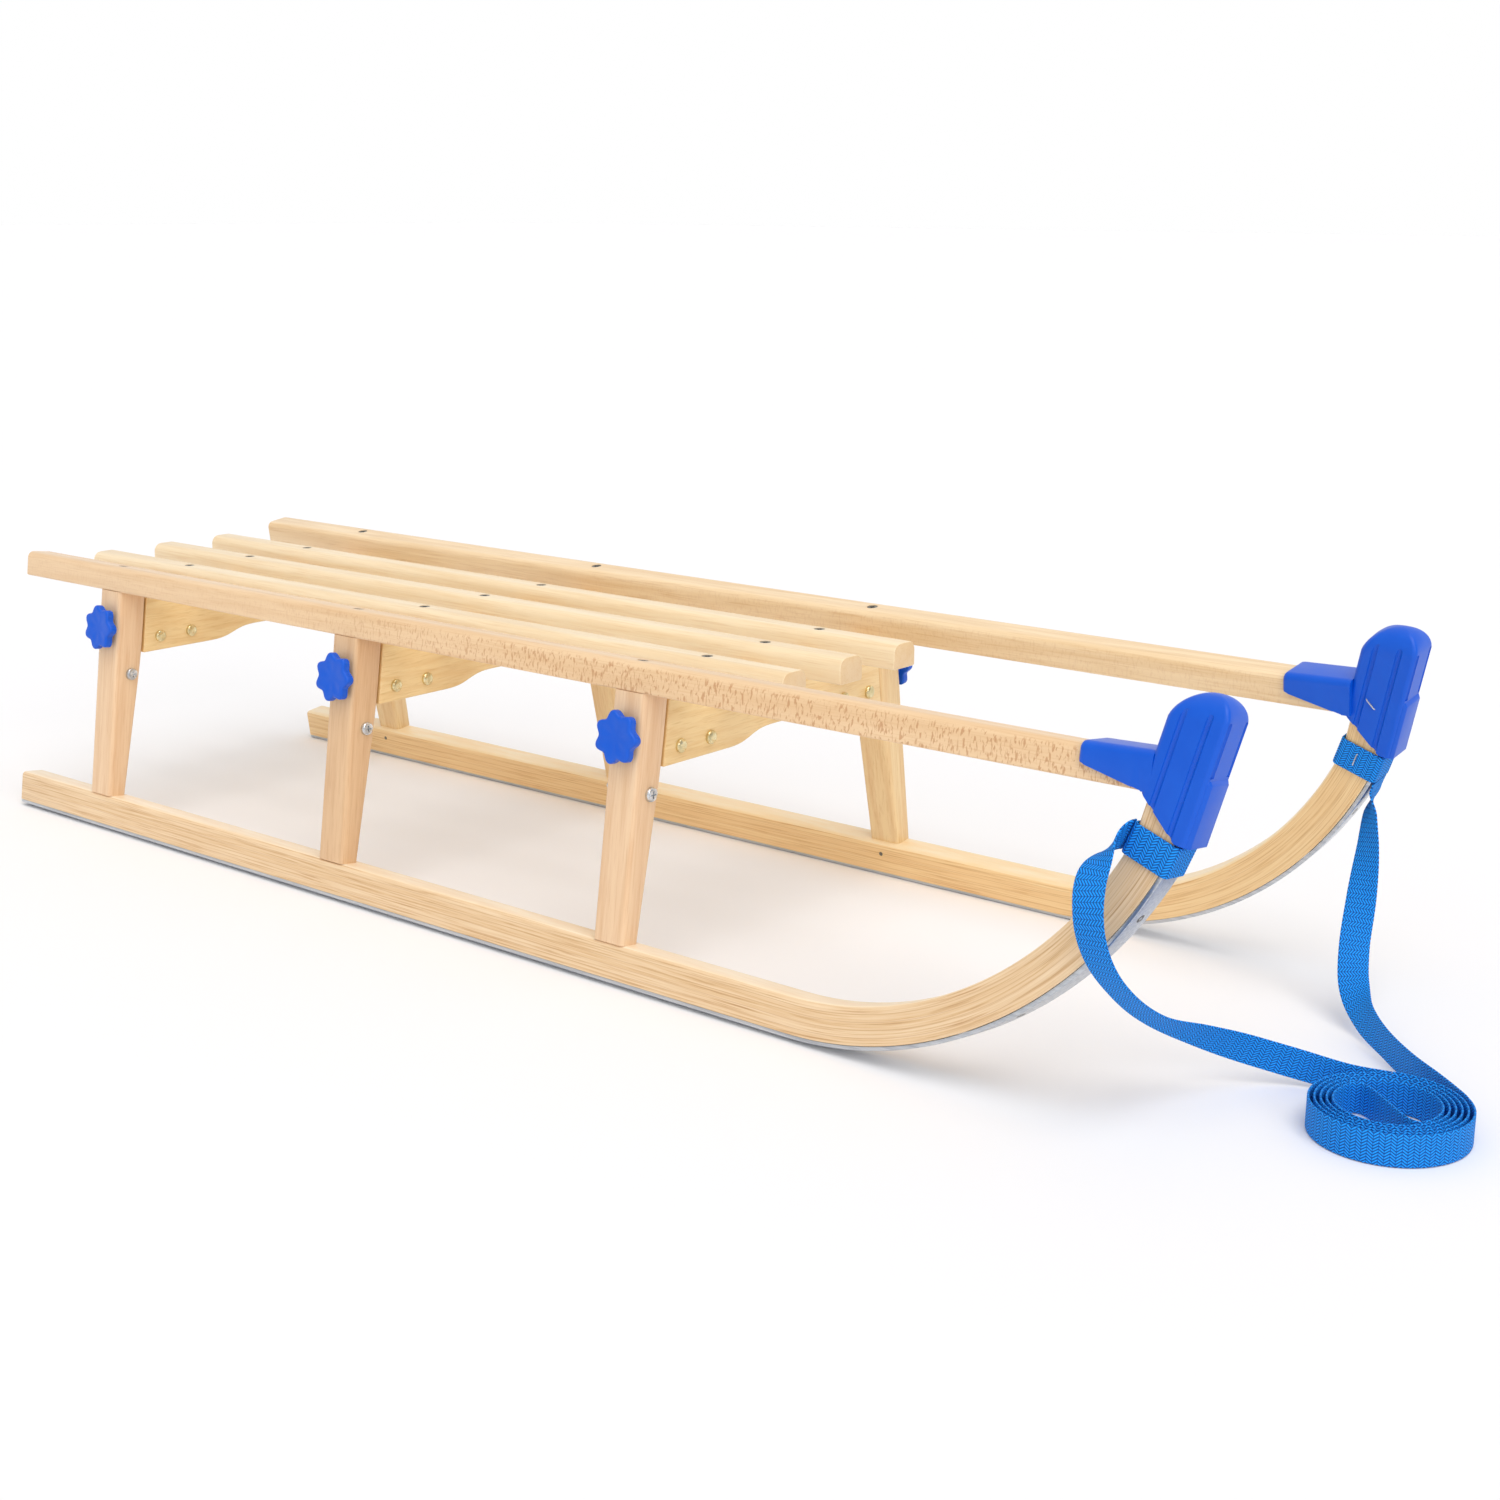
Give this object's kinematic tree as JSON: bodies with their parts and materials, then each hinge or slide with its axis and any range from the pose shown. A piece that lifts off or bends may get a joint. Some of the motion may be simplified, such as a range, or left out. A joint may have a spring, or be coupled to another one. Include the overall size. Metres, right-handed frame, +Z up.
{
  "type": "folding sledge",
  "caption": "Wooden folding sledge: slatted seat, leaning side frames with curved steel-shod runners, star knobs, plastic horn caps and a coiled webbing pull strap.",
  "frame": {"origin": "on the ground at the middle of the sledge's length and width, the free strap left out", "axes": "+X forwards towards the horns, +Y to the left side, +Z up"},
  "size_m": [1.2776, 0.3628, 0.2618],
  "materials": {
    "beech": "varnished, satin",
    "laminated_beech": "steam-bent laminated beech, varnished, satin",
    "plywood": "varnished, satin",
    "steel": "bright drawn",
    "zinc": "yellow zinc plated",
    "plastic": "moulded, satin",
    "webbing": "woven flat webbing"
  },
  "bodies": {
    "seat": {"slat_inner_right": "beech", "slat_centre": "beech", "slat_inner_left": "beech", "rear_board": "plywood", "middle_board": "plywood", "front_board": "plywood", "bracket_rear_left": "zinc", "pivot_bolt_rear_left": "steel", "insert_nut_rear_left": "zinc", "bracket_rear_right": "zinc", "pivot_bolt_rear_right": "steel", "insert_nut_rear_right": "zinc", "bracket_middle_left": "zinc", "pivot_bolt_middle_left": "steel", "insert_nut_middle_left": "zinc", "bracket_middle_right": "zinc", "pivot_bolt_middle_right": "steel", "insert_nut_middle_right": "zinc", "bracket_front_left": "zinc", "pivot_bolt_front_left": "steel", "insert_nut_front_left": "zinc", "bracket_front_right": "zinc", "pivot_bolt_front_right": "steel", "insert_nut_front_right": "zinc", "strap_coil": "webbing", "strap_near": "webbing", "strap_far": "webbing"},
    "side_frame_right": {"runner_right": "laminated_beech", "shoe_right": "steel", "leg_rear_right": "beech", "leg_middle_right": "beech", "leg_front_right": "beech", "outer_slat_right": "beech", "cap_right": "plastic", "strap_loop_right": "webbing", "staple_loop_right": "steel", "staple_cap_right": "steel"},
    "side_frame_left": {"runner_left": "laminated_beech", "shoe_left": "steel", "leg_rear_left": "beech", "leg_middle_left": "beech", "leg_front_left": "beech", "outer_slat_left": "beech", "cap_left": "plastic", "strap_loop_left": "webbing", "staple_loop_left": "steel", "staple_cap_left": "steel"},
    "knob_body_rear_right": {"knob_rear_right": "plastic", "knob_screw_rear_right": "steel"},
    "knob_body_middle_right": {"knob_middle_right": "plastic", "knob_screw_middle_right": "steel"},
    "knob_body_front_right": {"knob_front_right": "plastic", "knob_screw_front_right": "steel"},
    "knob_body_rear_left": {"knob_rear_left": "plastic", "knob_screw_rear_left": "steel"},
    "knob_body_middle_left": {"knob_middle_left": "plastic", "knob_screw_middle_left": "steel"},
    "knob_body_front_left": {"knob_front_left": "plastic", "knob_screw_front_left": "steel"}
  },
  "joints": [
    {"name": "fold_right", "type": "hinge", "parent": "seat", "child": "side_frame_right", "pos_m": [-0.15307, -0.14164, 0.13268], "axis": [1, 0, 0], "range_deg": [0, 98], "deforming": ["strap_near"]},
    {"name": "fold_left", "type": "hinge", "parent": "seat", "child": "side_frame_left", "pos_m": [-0.15307, 0.14164, 0.13268], "axis": [-1, 0, 0], "range_deg": [0, 98], "deforming": ["strap_far"]},
    {"name": "turn_knob_rear_right", "type": "hinge", "parent": "side_frame_right", "child": "knob_body_rear_right", "pos_m": [-0.45307, -0.1512, 0.1724], "axis": [0, -0.9903, 0.1392], "continuous": true},
    {"name": "turn_knob_middle_right", "type": "hinge", "parent": "side_frame_right", "child": "knob_body_middle_right", "pos_m": [-0.15307, -0.1512, 0.1724], "axis": [0, -0.9903, 0.1392], "continuous": true},
    {"name": "turn_knob_front_right", "type": "hinge", "parent": "side_frame_right", "child": "knob_body_front_right", "pos_m": [0.13793, -0.1512, 0.1724], "axis": [0, -0.9903, 0.1392], "continuous": true},
    {"name": "turn_knob_rear_left", "type": "hinge", "parent": "side_frame_left", "child": "knob_body_rear_left", "pos_m": [-0.45307, 0.1512, 0.1724], "axis": [0, 0.9903, 0.1392], "continuous": true},
    {"name": "turn_knob_middle_left", "type": "hinge", "parent": "side_frame_left", "child": "knob_body_middle_left", "pos_m": [-0.15307, 0.1512, 0.1724], "axis": [0, 0.9903, 0.1392], "continuous": true},
    {"name": "turn_knob_front_left", "type": "hinge", "parent": "side_frame_left", "child": "knob_body_front_left", "pos_m": [0.13793, 0.1512, 0.1724], "axis": [0, 0.9903, 0.1392], "continuous": true}
  ]
}
